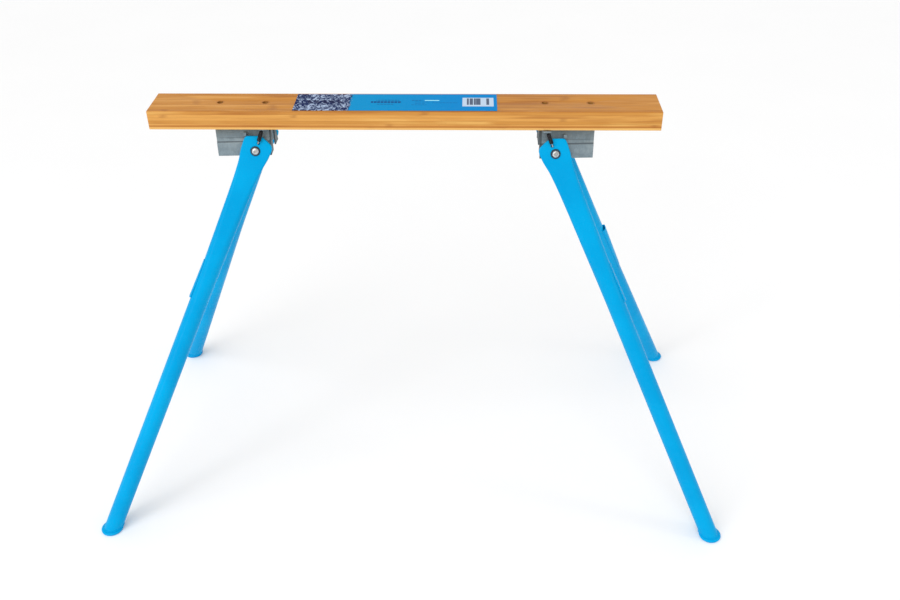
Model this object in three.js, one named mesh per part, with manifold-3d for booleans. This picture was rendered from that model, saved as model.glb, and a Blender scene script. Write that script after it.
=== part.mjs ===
// A folding sawhorse: a laminated bamboo rail on two galvanised brackets, each bracket carrying two
// steel legs that swing inward along the rail on a pivot bolt and are pulled open by a small spring.
// Millimetres. +Z is up, +X runs along the rail, -Y is the front. The origin is on the floor, under
// the middle of the rail. End "left" (-X) has the narrow bracket and end "right" (+X) the wide one.
import * as THREE from "three";
import { mergeVertices } from "three/addons/utils/BufferGeometryUtils.js";
import Module from "manifold-3d";

// ---- Driving dimensions -------------------------------------------------------------------------

const GAP = 0.3; // between two pieces that touch
const SEGMENTS = 24; // round a small turned piece

const RAIL = { length: 915, width: 84, thickness: 35, top: 800, arris: 2 };
const LABEL = { from: -198, to: 166, width: 74, thickness: 0.4 };

const PIVOT = { x: 272, z: 722, yLeft: 38.5, yRight: 46.5 }; // the leg's mid-plane at its bolt
const TOE_DEG = 2.8; // each pair of side plates is turned this much from the rail, so folded legs pass
const FOOT_AT = { xFront: 604, xRear: 578, y: 292 }; // where a leg's axis meets the floor

const TUBE = { radius: 17, wall: 1.8, hollowFrom: 60 };
const BLADE = 6; // thickness of the flattened head
const PIVOT_HOLE_RADIUS = 6.2;
const DIMPLE = { radius: 9.5, depth: 1.0 };
const HOOK_HOLE = { up: 15.5, radius: 2.6 };

const FLANGE = { radius: 21.5, height: 7, edge: 2.5 };
const PLUG = { radius: 14.8, length: 38, cutAt: 3 };

const SHEET = 2.5; // bracket steel
const PLATE = { inward: 28, outward: 69, below: 8.5, slantDeg: 3.5, flangeTo: 12 };
const CREASE = { from: 14, height: 6.4, depth: 2.6 };
const SPRING_TAB = { inward: 16, halfWidth: 7, holeRadius: 2.4, beyondHole: 5 };
const STOP = { from: 14.5, to: 20, above: 28, height: 6 };

const PIVOT_BOLT = { radius: 4, headRadius: 6.6, headHeight: 4, boreClearance: 0.3 };
const OUTER_WASHER = { radius: 8.6, thickness: 1.2 };
const INNER_WASHER = { radius: 12, thickness: 2 };
const PIVOT_NUT = { acrossFlats: 13, height: 7 };
const SPRING = { radius: 3.8, lowerHook: 3.5, upperHook: 4.5, clearOfBlade: 4.3 };

const RAIL_BOLT = { x: [252, 334], radius: 3.1, headRadius: 5, headHeight: 3.6, sunk: 3.5 };
const COUNTERBORE = { radius: 5.5, depth: 7.4 };
const RAIL_NUT = { acrossFlats: 10, height: 5 };
const RAIL_WASHER = { radius: 7, thickness: 1.2 };

// A strip pressed along each leg's outer edge: [distance down, how far it stands out of the tube].
// The rear one is open at its upper end, like a pocket.
const CLIP = { halfWidth: 9, pocketHalfWidth: 6.5 };
const CLIP_AT = {
  front: {
    strip: [
      [228, 1],
      [262, 1.9],
      [306, 3.2],
    ],
  },
  rear: {
    strip: [
      [300, 5],
      [340, 4.4],
      [385, 2.6],
      [430, 1],
    ],
    pocket: [
      [295, 3.5],
      [334, 1],
    ],
  },
};

const COLOURS = {
  bamboo: { color: 0xd9a45c, roughness: 0.55, metalness: 0 },
  label: { color: 0x2aa3d8, roughness: 0.4, metalness: 0 },
  blue: { color: 0x00a5e6, roughness: 0.28, metalness: 0 },
  galvanised: { color: 0x8b989c, roughness: 0.5, metalness: 0.8 },
  zinc: { color: 0xc9cdd0, roughness: 0.3, metalness: 1 },
  spring: { color: 0x2b2b2e, roughness: 0.45, metalness: 0.9 },
  nylon: { color: 0x1d1d1f, roughness: 0.6, metalness: 0 },
};

// ---- Solids: closed meshes joined and cut --------------------------------------------------------

const wasm = await Module();
wasm.setup();

function toSolid(geometry) {
  const bare = geometry.clone();
  bare.deleteAttribute("normal");
  bare.deleteAttribute("uv");
  const merged = mergeVertices(bare, 1e-4);
  return new wasm.Manifold(
    new wasm.Mesh({
      numProp: 3,
      vertProperties: merged.attributes.position.array,
      triVerts: new Uint32Array(merged.index.array),
    }),
  );
}

function toGeometry(solid) {
  const { vertProperties, triVerts } = solid.getMesh();
  const geometry = new THREE.BufferGeometry();
  geometry.setAttribute("position", new THREE.BufferAttribute(vertProperties, 3));
  geometry.setIndex(new THREE.BufferAttribute(triVerts, 1));
  geometry.computeVertexNormals();
  return geometry;
}

function join(...geometries) {
  return toGeometry(geometries.map(toSolid).reduce((all, next) => all.add(next)));
}

function cut(body, ...tools) {
  return toGeometry(tools.map(toSolid).reduce((left, tool) => left.subtract(tool), toSolid(body)));
}

// ---- Simple shapes -------------------------------------------------------------------------------

// A bar of round section along Z, from z0 to z1.
function rod(radius, z0, z1, segments = SEGMENTS) {
  const bar = new THREE.CylinderGeometry(radius, radius, z1 - z0, segments);
  return bar.rotateX(Math.PI / 2).translate(0, 0, (z0 + z1) / 2);
}

// A round disc with a bore, along Z, from z0 to z1.
function ring(outer, bore, z0, z1, segments = SEGMENTS) {
  const profile = [
    new THREE.Vector2(bore, z0),
    new THREE.Vector2(outer, z0),
    new THREE.Vector2(outer, z1),
    new THREE.Vector2(bore, z1),
    new THREE.Vector2(bore, z0),
  ];
  return new THREE.LatheGeometry(profile, segments).rotateX(Math.PI / 2);
}

// A hexagonal nut along Z, from z0 to z1.
function hexNut(acrossFlats, bore, z0, z1) {
  const shape = new THREE.Shape();
  const corner = acrossFlats / 2 / Math.cos(Math.PI / 6);
  for (let i = 0; i < 6; i += 1) {
    const angle = (i * Math.PI) / 3;
    const step = i === 0 ? "moveTo" : "lineTo";
    shape[step](corner * Math.cos(angle), corner * Math.sin(angle));
  }
  shape.closePath();
  shape.holes.push(new THREE.Path().absarc(0, 0, bore, 0, Math.PI * 2, true));
  const options = { depth: z1 - z0, bevelEnabled: false, curveSegments: SEGMENTS / 2 };
  return new THREE.ExtrudeGeometry(shape, options).translate(0, 0, z0);
}

function box(x0, x1, y0, y1, z0, z1) {
  const block = new THREE.BoxGeometry(x1 - x0, y1 - y0, z1 - z0);
  return block.translate((x0 + x1) / 2, (y0 + y1) / 2, (z0 + z1) / 2);
}

// Skins a row of rings, each a list of [x, y, z] with the same count, and closes both ends.
function skin(rings) {
  const count = rings[0].length;
  const positions = rings.flat(2);
  const triangles = [];
  const last = (rings.length - 1) * count;
  for (let r = 0; r < rings.length - 1; r += 1) {
    for (let i = 0; i < count; i += 1) {
      const a = r * count + i;
      const b = r * count + ((i + 1) % count);
      triangles.push(a, b + count, b, a, a + count, b + count);
    }
  }
  for (let i = 1; i < count - 1; i += 1) {
    triangles.push(0, i, i + 1);
    triangles.push(last, last + i + 1, last + i);
  }
  const geometry = new THREE.BufferGeometry();
  geometry.setAttribute("position", new THREE.Float32BufferAttribute(positions, 3));
  geometry.setIndex(triangles);
  return geometry;
}

// ---- Where each leg is ----------------------------------------------------------------------------

// In a leg's own frame the pivot is the origin, +Z runs up the leg, +X points outward along the rail,
// and outside * Y points away from the rail. The plate frame shares the leg's plane: "along" follows
// the toed side plate towards the rail's end, "up" climbs the plate and "out" leaves it.
function legPlace(endSign, sideSign) {
  const right = endSign > 0;
  const pivot = new THREE.Vector3(
    endSign * PIVOT.x,
    sideSign * (right ? PIVOT.yRight : PIVOT.yLeft),
    PIVOT.z,
  );
  const footX = sideSign < 0 ? FOOT_AT.xFront : FOOT_AT.xRear;
  const foot = new THREE.Vector3(endSign * footX, sideSign * FOOT_AT.y, 0);
  const toe = THREE.MathUtils.degToRad(-sideSign * TOE_DEG);
  const along = new THREE.Vector3(Math.cos(toe), Math.sin(toe), 0).multiplyScalar(endSign);

  const legUp = pivot.clone().sub(foot).normalize();
  const out = new THREE.Vector3().crossVectors(legUp, along).normalize();
  if (out.y * sideSign < 0) out.negate();
  const up = new THREE.Vector3().crossVectors(out, along);
  if (up.z < 0) up.negate();

  const legOutward = along.clone().addScaledVector(legUp, -along.dot(legUp)).normalize();
  const legY = new THREE.Vector3().crossVectors(legUp, legOutward);
  const matrix = new THREE.Matrix4().makeBasis(legOutward, legY, legUp).setPosition(pivot);
  const outside = Math.sign(legY.dot(out));
  return { endSign, sideSign, pivot, foot, along, up, out, matrix, outside };
}

// ---- Leg pieces, in the leg's own frame -----------------------------------------------------------

const RING_POINTS = 24;

// The flattened head's outline above the pivot: [height, inner edge, outer edge]. Its outer slope is
// level when the leg is open, to meet the stop, and the inner one is rounded, to swing past it.
const HEAD_OUTLINE = [
  [28.2, -3.5, 3.7],
  [27, -6.5, 6.6],
  [24, -15, 13.9],
  [21.5, -21, 19.8],
  [19, -24, 24.6],
  [15, -26.2, 26.8],
  [8, -27, 27],
];

// The leg below the pivot: [distance down, half width, half thickness], from blade to round tube.
const LEG_SECTIONS = [
  [2, 26.5, 3],
  [14, 25, 3],
  [26, 23, 3.4],
  [44, 21.5, 5.2],
  [66, 20.5, 7.4],
  [92, 19.8, 9],
  [145, 19, 11.2],
  [200, 18.2, 13.8],
  [255, 17.4, 16],
  [310, TUBE.radius, TUBE.radius],
];

// A flattened round: straight flanks between two half circles.
function sectionRing(centre, halfWidth, halfThickness, z) {
  const ringPoints = [];
  for (let i = 0; i < RING_POINTS; i += 1) {
    const angle = ((i + 0.5) / RING_POINTS) * Math.PI * 2;
    const c = Math.cos(angle);
    const flank = (halfWidth - halfThickness) * Math.sign(c);
    ringPoints.push([centre + flank + halfThickness * c, halfThickness * Math.sin(angle), z]);
  }
  return ringPoints;
}

// The tube runs past the floor and is then cut level, just above its foot.
function legTube(place, length) {
  const past = length + TUBE.radius * 2;
  const outer = HEAD_OUTLINE.map(([up, inner, outerEdge]) =>
    sectionRing((inner + outerEdge) / 2, (outerEdge - inner) / 2, BLADE / 2, up),
  );
  for (const [down, width, thick] of LEG_SECTIONS) outer.push(sectionRing(0, width, thick, -down));
  outer.push(sectionRing(0, TUBE.radius, TUBE.radius, -past));

  const inner = LEG_SECTIONS.filter(([down]) => down > TUBE.hollowFrom).map(([down, width, thick]) =>
    sectionRing(0, width - TUBE.wall, thick - TUBE.wall, -down),
  );
  const bore = TUBE.radius - TUBE.wall;
  inner.push(sectionRing(0, bore, bore, -past));

  const body = skin([...outer, ...inner.reverse()]);
  const floor = box(-200, 200, -200, 200, -200, 0);
  const level = place.matrix.clone().invert();
  level.multiply(
    new THREE.Matrix4().makeTranslation(place.foot.x, place.foot.y, FLANGE.height + GAP),
  );
  floor.applyMatrix4(level);
  const across = (tool) => tool.rotateX((-place.outside * Math.PI) / 2);
  const pivotHole = across(rod(PIVOT_HOLE_RADIUS, -BLADE, BLADE));
  const dimple = across(rod(DIMPLE.radius, BLADE / 2 - DIMPLE.depth, BLADE));
  const hookHole = across(rod(HOOK_HOLE.radius, -BLADE, BLADE, 12)).translate(0, 0, HOOK_HOLE.up);
  return cut(body, floor, pivotHole, dimple, hookHole);
}

// A level flange under a plug that fills the tube's end.
function foot(place, length) {
  const r = FLANGE.radius;
  const e = FLANGE.edge;
  const h = FLANGE.height;
  const corner = (cx, cz, from) =>
    [0, 1, 2, 3].map((i) => {
      const angle = from + (i * Math.PI) / 6;
      return new THREE.Vector2(cx + e * Math.cos(angle), cz + e * Math.sin(angle));
    });
  const profile = [
    new THREE.Vector2(0, 0),
    ...corner(r - e, e, -Math.PI / 2),
    ...corner(r - e, h - e, 0),
    new THREE.Vector2(0, h),
  ];
  const disc = new THREE.LatheGeometry(profile, 32).rotateX(Math.PI / 2);
  const level = place.matrix.clone().invert();
  level.multiply(new THREE.Matrix4().makeTranslation(place.foot.x, place.foot.y, 0));
  disc.applyMatrix4(level);
  const under = box(-100, 100, -100, 100, -100, PLUG.cutAt).applyMatrix4(level);
  const plug = cut(rod(PLUG.radius, -length - PLUG.length, -length + PLUG.length), under);
  return join(disc, plug);
}

// The leg's half width and half thickness at a distance below the pivot.
function sectionAt(down) {
  const after = LEG_SECTIONS.findIndex((section) => section[0] >= down);
  if (after < 1) return LEG_SECTIONS.at(-1).slice(1);
  const [from, ...start] = LEG_SECTIONS[after - 1];
  const [to, ...end] = LEG_SECTIONS[after];
  return start.map((value, i) => THREE.MathUtils.mapLinear(down, from, to, value, end[i]));
}

// The leg's own shape over a stretch, moved outward by the given distances.
function standingOut(stretch) {
  const rings = stretch.map(([down, stand]) => {
    const [width, thick] = sectionAt(down);
    return sectionRing(stand, width, thick, -down);
  });
  return skin(rings);
}

// Everything beside a band along the leg.
function beside(half) {
  return [box(-60, 60, half, 60, -500, -200), box(-60, 60, -60, -half, -500, -200)];
}

function legClip({ strip, pocket }) {
  const tube = LEG_SECTIONS.slice(-4).map(([down, width, thick]) =>
    sectionRing(0, width + GAP, thick + GAP, -down),
  );
  tube.push(sectionRing(0, TUBE.radius + GAP, TUBE.radius + GAP, -500));
  const body = cut(standingOut(strip), skin(tube), ...beside(CLIP.halfWidth));
  if (!pocket) return body;
  return cut(body, cut(standingOut(pocket), ...beside(CLIP.pocketHalfWidth)));
}

// ---- Pivot hardware: along Z here, then turned so that +Z leaves the rail ---------------------------

const BLADE_FACE = BLADE / 2;
const PLATE_FACE = -(BLADE_FACE + GAP + INNER_WASHER.thickness + GAP);
const HEAD_SEAT = BLADE_FACE - DIMPLE.depth + GAP + OUTER_WASHER.thickness + GAP;
const BORE = PIVOT_BOLT.radius + PIVOT_BOLT.boreClearance;

function pivotBolt() {
  const tail = PLATE_FACE - SHEET - GAP - PIVOT_NUT.height - 1;
  const head = [
    new THREE.Vector2(0, HEAD_SEAT),
    new THREE.Vector2(PIVOT_BOLT.headRadius, HEAD_SEAT),
    new THREE.Vector2(PIVOT_BOLT.headRadius, HEAD_SEAT + 1.6),
    new THREE.Vector2(PIVOT_BOLT.headRadius - 1.2, HEAD_SEAT + 3),
    new THREE.Vector2(PIVOT_BOLT.headRadius - 3.2, HEAD_SEAT + PIVOT_BOLT.headHeight),
    new THREE.Vector2(0, HEAD_SEAT + PIVOT_BOLT.headHeight),
  ];
  const cap = new THREE.LatheGeometry(head, SEGMENTS).rotateX(Math.PI / 2);
  return join(cap, rod(PIVOT_BOLT.radius, tail, HEAD_SEAT + 1));
}

function pivotHardware() {
  const seat = BLADE_FACE - DIMPLE.depth + GAP;
  const washerTop = -BLADE_FACE - GAP;
  const nutTop = PLATE_FACE - SHEET - GAP;
  return {
    pivot_bolt: [pivotBolt(), "zinc"],
    outer_washer: [
      ring(OUTER_WASHER.radius, BORE, seat, seat + OUTER_WASHER.thickness),
      "nylon",
    ],
    inner_washer: [
      ring(INNER_WASHER.radius, BORE, washerTop - INNER_WASHER.thickness, washerTop),
      "nylon",
    ],
    lock_nut: [hexNut(PIVOT_NUT.acrossFlats, BORE, nutTop - PIVOT_NUT.height, nutTop), "zinc"],
  };
}

// The sleeve pressed in the leg's pivot hole.
function pivotBush() {
  return ring(PIVOT_HOLE_RADIUS - GAP, BORE, -BLADE_FACE + GAP, BLADE_FACE - DIMPLE.depth - GAP);
}

// ---- Brackets --------------------------------------------------------------------------------------

const UNDERSIDE = RAIL.top - RAIL.thickness;
const WEB_TOP = UNDERSIDE - GAP;
const WEB_BOTTOM = WEB_TOP - SHEET;

// A point of a side plate: "a" along it from the pivot, "n" out of it, at the world height z.
function platePoint(place, a, n, z) {
  const base = place.pivot.clone().addScaledVector(place.along, a).addScaledVector(place.out, n);
  return base.addScaledVector(place.up, (z - base.z) / place.up.z);
}

// The same, at a distance "w" up the plate from the pivot.
function onPlate(place, a, n, w) {
  const base = place.pivot.clone().addScaledVector(place.along, a).addScaledVector(place.out, n);
  return base.addScaledVector(place.up, w);
}

// The plate's own frame: +X out of it, +Y up it, and Z along it in the given direction.
function plateFrame(place) {
  const axis = new THREE.Vector3().crossVectors(place.out, place.up);
  const matrix = new THREE.Matrix4().makeBasis(place.out, place.up, axis);
  return { matrix: matrix.setPosition(place.pivot), direction: Math.sign(axis.dot(place.along)) };
}

// One creased side plate, leaning outward as it goes down. Its outer end is cut on a slant.
function sidePlate(place) {
  const face = PLATE_FACE;
  const back = face - CREASE.depth;
  const crease = CREASE.from;
  const creaseTop = crease + CREASE.height;
  const top = 60;
  const outline = [
    [face, -PLATE.below],
    [face, crease],
    [back, creaseTop],
    [back, top],
    [back - SHEET, top],
    [back - SHEET, creaseTop],
    [face - SHEET, crease],
    [face - SHEET, -PLATE.below],
  ];
  const shape = new THREE.Shape(outline.map(([n, w]) => new THREE.Vector2(n, w)));
  const longest = PLATE.outward + 10;
  const depth = PLATE.inward + longest;
  const sheet = new THREE.ExtrudeGeometry(shape, { depth, bevelEnabled: false });
  const { matrix, direction } = plateFrame(place);
  sheet.translate(0, 0, direction > 0 ? -PLATE.inward : -longest);
  const beyond = box(-60, 60, -80, 120, 0, 60).translate(0, 0, direction > 0 ? 0 : -60);
  beyond.rotateX(direction * THREE.MathUtils.degToRad(PLATE.slantDeg));
  beyond.translate(0, 0, direction * PLATE.outward);
  return cut(sheet, beyond).applyMatrix4(matrix);
}

// A flange turned in at the plate's inner end, down its whole height.
function endFlange(place) {
  const a = -PLATE.inward;
  const n = PLATE_FACE - SHEET / 2;
  const top = WEB_BOTTOM + SHEET / 2;
  const edge = [
    onPlate(place, a, n, -PLATE.below),
    onPlate(place, a, n, CREASE.from),
    onPlate(place, a, n - CREASE.depth, CREASE.from + CREASE.height),
    platePoint(place, a, n - CREASE.depth, top),
  ];
  const inner = place.sideSign * PLATE.flangeTo;
  const shape = new THREE.Shape(edge.map((p) => new THREE.Vector2(p.y, p.z)));
  shape.lineTo(inner, top);
  shape.lineTo(inner, edge[0].z);
  const flange = new THREE.ExtrudeGeometry(shape, { depth: SHEET, bevelEnabled: false });
  flange.rotateX(Math.PI / 2).rotateZ(Math.PI / 2);
  const near = PIVOT.x - PLATE.inward + 0.5;
  return flange.translate(place.endSign > 0 ? near : -near - SHEET, 0, 0);
}

// The flat top, between the two plates' upper edges.
function web(places) {
  const [front, rear] = places;
  const n = PLATE_FACE - CREASE.depth - 0.2;
  const corners = [
    platePoint(front, -PLATE.inward, n, WEB_TOP),
    platePoint(front, PLATE.outward, n, WEB_TOP),
    platePoint(rear, PLATE.outward, n, WEB_TOP),
    platePoint(rear, -PLATE.inward, n, WEB_TOP),
  ];
  const shape = new THREE.Shape(corners.map((p) => new THREE.Vector2(p.x, p.y)));
  const options = { depth: SHEET, bevelEnabled: false };
  return new THREE.ExtrudeGeometry(shape, options).translate(0, 0, WEB_BOTTOM);
}

// Where the spring's upper hook sits, on the web's level.
function springAnchor(place) {
  const n = BLADE_FACE + SPRING.clearOfBlade;
  return platePoint(place, -SPRING_TAB.inward, n, WEB_BOTTOM + SHEET / 2);
}

// Where its lower hook sits, beside the hole in the leg's head.
function springHook(place) {
  const y = place.outside * (BLADE_FACE + SPRING.clearOfBlade);
  return new THREE.Vector3(0, y, HOOK_HOLE.up).applyMatrix4(place.matrix);
}

// An ear of the web, over the spring.
function springTab(place) {
  const hole = springAnchor(place);
  const root = platePoint(place, -SPRING_TAB.inward, PLATE_FACE - SHEET - 2, WEB_TOP);
  const y0 = Math.min(root.y, hole.y + place.sideSign * SPRING_TAB.beyondHole);
  const y1 = Math.max(root.y, hole.y + place.sideSign * SPRING_TAB.beyondHole);
  const w = SPRING_TAB.halfWidth;
  return box(hole.x - w, hole.x + w, y0, y1, WEB_BOTTOM, WEB_TOP);
}

// The lug that the head's level top meets when the leg is open.
function stopLug(place) {
  const { matrix, direction } = plateFrame(place);
  const deep = PLATE_FACE - CREASE.depth - SHEET / 2;
  const ends = [direction * STOP.from, direction * STOP.to].sort((a, b) => a - b);
  const lug = box(deep, BLADE_FACE, STOP.above, STOP.above + STOP.height, ...ends);
  return lug.applyMatrix4(matrix);
}

function bracket(places) {
  const plates = places.map(sidePlate);
  const lugs = places.map(stopLug);
  const tabs = places.map(springTab);
  const flanges = places.map(endFlange);
  const body = join(web(places), ...plates, ...flanges, ...lugs, ...tabs);
  const above = box(-600, 600, -200, 200, WEB_TOP, WEB_TOP + 80);
  const pivotHoles = places.map((place) =>
    rod(BORE, -30, 30).rotateX(Math.PI / 2).applyMatrix4(place.matrix),
  );
  const hooks = places.map((place) => {
    const at = springAnchor(place);
    return rod(SPRING_TAB.holeRadius, WEB_BOTTOM - 5, WEB_TOP + 5, 12).translate(at.x, at.y, 0);
  });
  const { endSign } = places[0];
  const railHoles = RAIL_BOLT.x.map((x) =>
    rod(RAIL_BOLT.radius + GAP, WEB_BOTTOM - 5, WEB_TOP + 5, 16).translate(endSign * x, 0, 0),
  );
  return cut(body, above, ...pivotHoles, ...hooks, ...railHoles);
}

// ---- Rail ------------------------------------------------------------------------------------------

function rail() {
  const w = RAIL.width / 2;
  const h = RAIL.thickness;
  const a = RAIL.arris;
  const shape = new THREE.Shape();
  shape.moveTo(-w + a, 0);
  shape.lineTo(w - a, 0);
  shape.absarc(w - a, a, a, -Math.PI / 2, 0, false);
  shape.absarc(w - a, h - a, a, 0, Math.PI / 2, false);
  shape.absarc(-w + a, h - a, a, Math.PI / 2, Math.PI, false);
  shape.absarc(-w + a, a, a, Math.PI, Math.PI * 1.5, false);
  const options = { depth: RAIL.length, bevelEnabled: false, curveSegments: 3 };
  const bar = new THREE.ExtrudeGeometry(shape, options);
  bar.translate(0, 0, -RAIL.length / 2).rotateX(Math.PI / 2).rotateZ(Math.PI / 2);
  bar.translate(0, 0, UNDERSIDE);
  const holes = [];
  for (const side of [-1, 1]) {
    for (const x of RAIL_BOLT.x) {
      const through = rod(RAIL_BOLT.radius + GAP, UNDERSIDE - 5, RAIL.top + 5, 16);
      const bore = rod(COUNTERBORE.radius, RAIL.top - COUNTERBORE.depth, RAIL.top + 5, 20);
      holes.push(through.translate(side * x, 0, 0), bore.translate(side * x, 0, 0));
    }
  }
  return cut(bar, ...holes);
}

function railBolt() {
  const seat = RAIL.top - COUNTERBORE.depth + GAP;
  const head = rod(RAIL_BOLT.headRadius, seat, seat + RAIL_BOLT.headHeight, 20);
  const tail = WEB_BOTTOM - GAP - RAIL_WASHER.thickness - GAP - RAIL_NUT.height - 2;
  return join(head, rod(RAIL_BOLT.radius, tail, seat + 1, 16));
}

// ---- Assembly --------------------------------------------------------------------------------------

const sawhorse = new THREE.Group();

function material(name) {
  return new THREE.MeshStandardMaterial(COLOURS[name]);
}

function addTo(group, name, geometry, look) {
  const mesh = new THREE.Mesh(geometry, material(look));
  mesh.name = name;
  group.add(mesh);
  return mesh;
}

addTo(sawhorse, "top_rail", rail(), "bamboo");
addTo(
  sawhorse,
  "rail_label",
  box(LABEL.from, LABEL.to, -LABEL.width / 2, LABEL.width / 2, 0, LABEL.thickness),
  "label",
).position.z = RAIL.top + GAP;

const ENDS = { left: -1, right: 1 };
const SIDES = { front: -1, rear: 1 };

for (const [end, endSign] of Object.entries(ENDS)) {
  const places = Object.values(SIDES).map((sideSign) => legPlace(endSign, sideSign));
  addTo(sawhorse, `${end}_bracket`, bracket(places), "galvanised");

  RAIL_BOLT.x.forEach((x, i) => {
    const spot = new THREE.Group();
    spot.position.x = endSign * x;
    sawhorse.add(spot);
    const where = `${end}_${i === 0 ? "inner" : "outer"}`;
    const washerTop = WEB_BOTTOM - GAP;
    const nutTop = washerTop - RAIL_WASHER.thickness - GAP;
    const bore = RAIL_BOLT.radius + GAP;
    const washer = ring(RAIL_WASHER.radius, bore, washerTop - RAIL_WASHER.thickness, washerTop);
    addTo(spot, `rail_bolt_${where}`, railBolt(), "spring");
    addTo(spot, `rail_washer_${where}`, washer, "zinc");
    const nut = hexNut(RAIL_NUT.acrossFlats, bore, nutTop - RAIL_NUT.height, nutTop);
    addTo(spot, `rail_nut_${where}`, nut, "zinc");
  });

  for (const place of places) {
    const side = place.sideSign < 0 ? "front" : "rear";
    const corner = `${side}_${end}`;
    const length = place.pivot.distanceTo(place.foot);

    const leg = new THREE.Group();
    place.matrix.decompose(leg.position, leg.quaternion, leg.scale);
    sawhorse.add(leg);
    addTo(leg, `${corner}_leg`, legTube(place, length), "blue");
    addTo(leg, `${corner}_foot`, foot(place, length), "blue");
    addTo(leg, `${corner}_leg_clip`, legClip(CLIP_AT[side]), "blue");

    const hardware = new THREE.Group();
    hardware.rotation.x = (-place.outside * Math.PI) / 2;
    leg.add(hardware);
    addTo(hardware, `${corner}_pivot_bush`, pivotBush(), "zinc");
    for (const [piece, [geometry, look]] of Object.entries(pivotHardware())) {
      addTo(hardware, `${corner}_${piece}`, geometry, look);
    }

    const hook = springHook(place);
    const pull = springAnchor(place).sub(hook);
    const coil = rod(SPRING.radius, SPRING.lowerHook, pull.length() - SPRING.upperHook, 12);
    const spring = addTo(sawhorse, `${corner}_spring`, coil, "spring");
    spring.position.copy(hook);
    spring.quaternion.setFromUnitVectors(new THREE.Vector3(0, 0, 1), pull.normalize());
  }
}

export default sawhorse;
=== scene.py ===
"""The looks of the folding sawhorse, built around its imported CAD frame. Metres, +Z up, front is -Y."""

import math  # noqa: E402
import random  # noqa: E402

import bmesh  # noqa: E402
import bpy  # noqa: E402
from mathutils import Matrix, Vector  # noqa: E402


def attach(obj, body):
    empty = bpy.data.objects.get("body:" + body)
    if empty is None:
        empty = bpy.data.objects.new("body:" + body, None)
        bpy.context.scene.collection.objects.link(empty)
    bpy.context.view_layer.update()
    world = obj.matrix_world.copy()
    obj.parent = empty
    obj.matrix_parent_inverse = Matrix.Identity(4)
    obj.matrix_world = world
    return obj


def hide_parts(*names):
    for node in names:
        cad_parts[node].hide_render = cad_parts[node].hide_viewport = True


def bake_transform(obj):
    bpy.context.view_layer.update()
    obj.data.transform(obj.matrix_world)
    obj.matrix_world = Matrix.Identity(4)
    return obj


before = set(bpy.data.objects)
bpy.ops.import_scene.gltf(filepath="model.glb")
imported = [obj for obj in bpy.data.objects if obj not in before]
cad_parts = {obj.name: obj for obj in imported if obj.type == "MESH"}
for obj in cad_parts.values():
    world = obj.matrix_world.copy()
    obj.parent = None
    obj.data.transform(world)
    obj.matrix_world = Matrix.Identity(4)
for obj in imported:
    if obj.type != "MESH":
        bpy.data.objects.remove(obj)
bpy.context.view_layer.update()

MM = 0.001

# ---- The part's own dimensions, in millimetres ------------------------------------------------------

PIVOT_X, PIVOT_Z = 272, 722
PIVOT_Y = {"left": 38.5, "right": 46.5}
TOE_DEG = 2.8
FOOT_X = {"front": 604, "rear": 578}
FOOT_Y = 292

TUBE_RADIUS = 17
BLADE_HALF = 3
HEAD_OUTLINE = [
    (28.2, -3.5, 3.7),
    (27, -6.5, 6.6),
    (24, -15, 13.9),
    (21.5, -21, 19.8),
    (19, -24, 24.6),
    (15, -26.2, 26.8),
    (8, -27, 27),
]
LEG_SECTIONS = [
    (2, 26.5, 3),
    (14, 25, 3),
    (26, 23, 3.4),
    (44, 21.5, 5.2),
    (66, 20.5, 7.4),
    (92, 19.8, 9),
    (145, 19, 11.2),
    (200, 18.2, 13.8),
    (255, 17.4, 16),
    (310, 17, 17),
]
DIMPLE_RADIUS, DIMPLE_DEPTH = 9.5, 1.0
HOOK_UP, HOOK_RADIUS = 15.5, 2.6
FLANGE_RADIUS, FLANGE_HEIGHT = 21.5, 7
GAP = 0.3

SHEET = 2.5
INNER_WASHER = 2.0
OUTER_WASHER = 1.2
PLATE_FACE = -(BLADE_HALF + GAP + INNER_WASHER + GAP)
HEAD_SEAT = BLADE_HALF - DIMPLE_DEPTH + GAP + OUTER_WASHER + GAP
BORE = 4.3
SPRING_OUT = BLADE_HALF + 4.3
SPRING_TAB_INWARD = 16
UNDERSIDE = 765
WEB_MIDDLE = UNDERSIDE - GAP - SHEET / 2

RAIL_TOP = 800
RAIL_HALF = 457.5
RAIL_BOLTS = (252, 334)

SIDES = {"front": -1, "rear": 1}
ENDS = {"left": -1, "right": 1}


# ---- Shader nodes -----------------------------------------------------------------------------------


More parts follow.
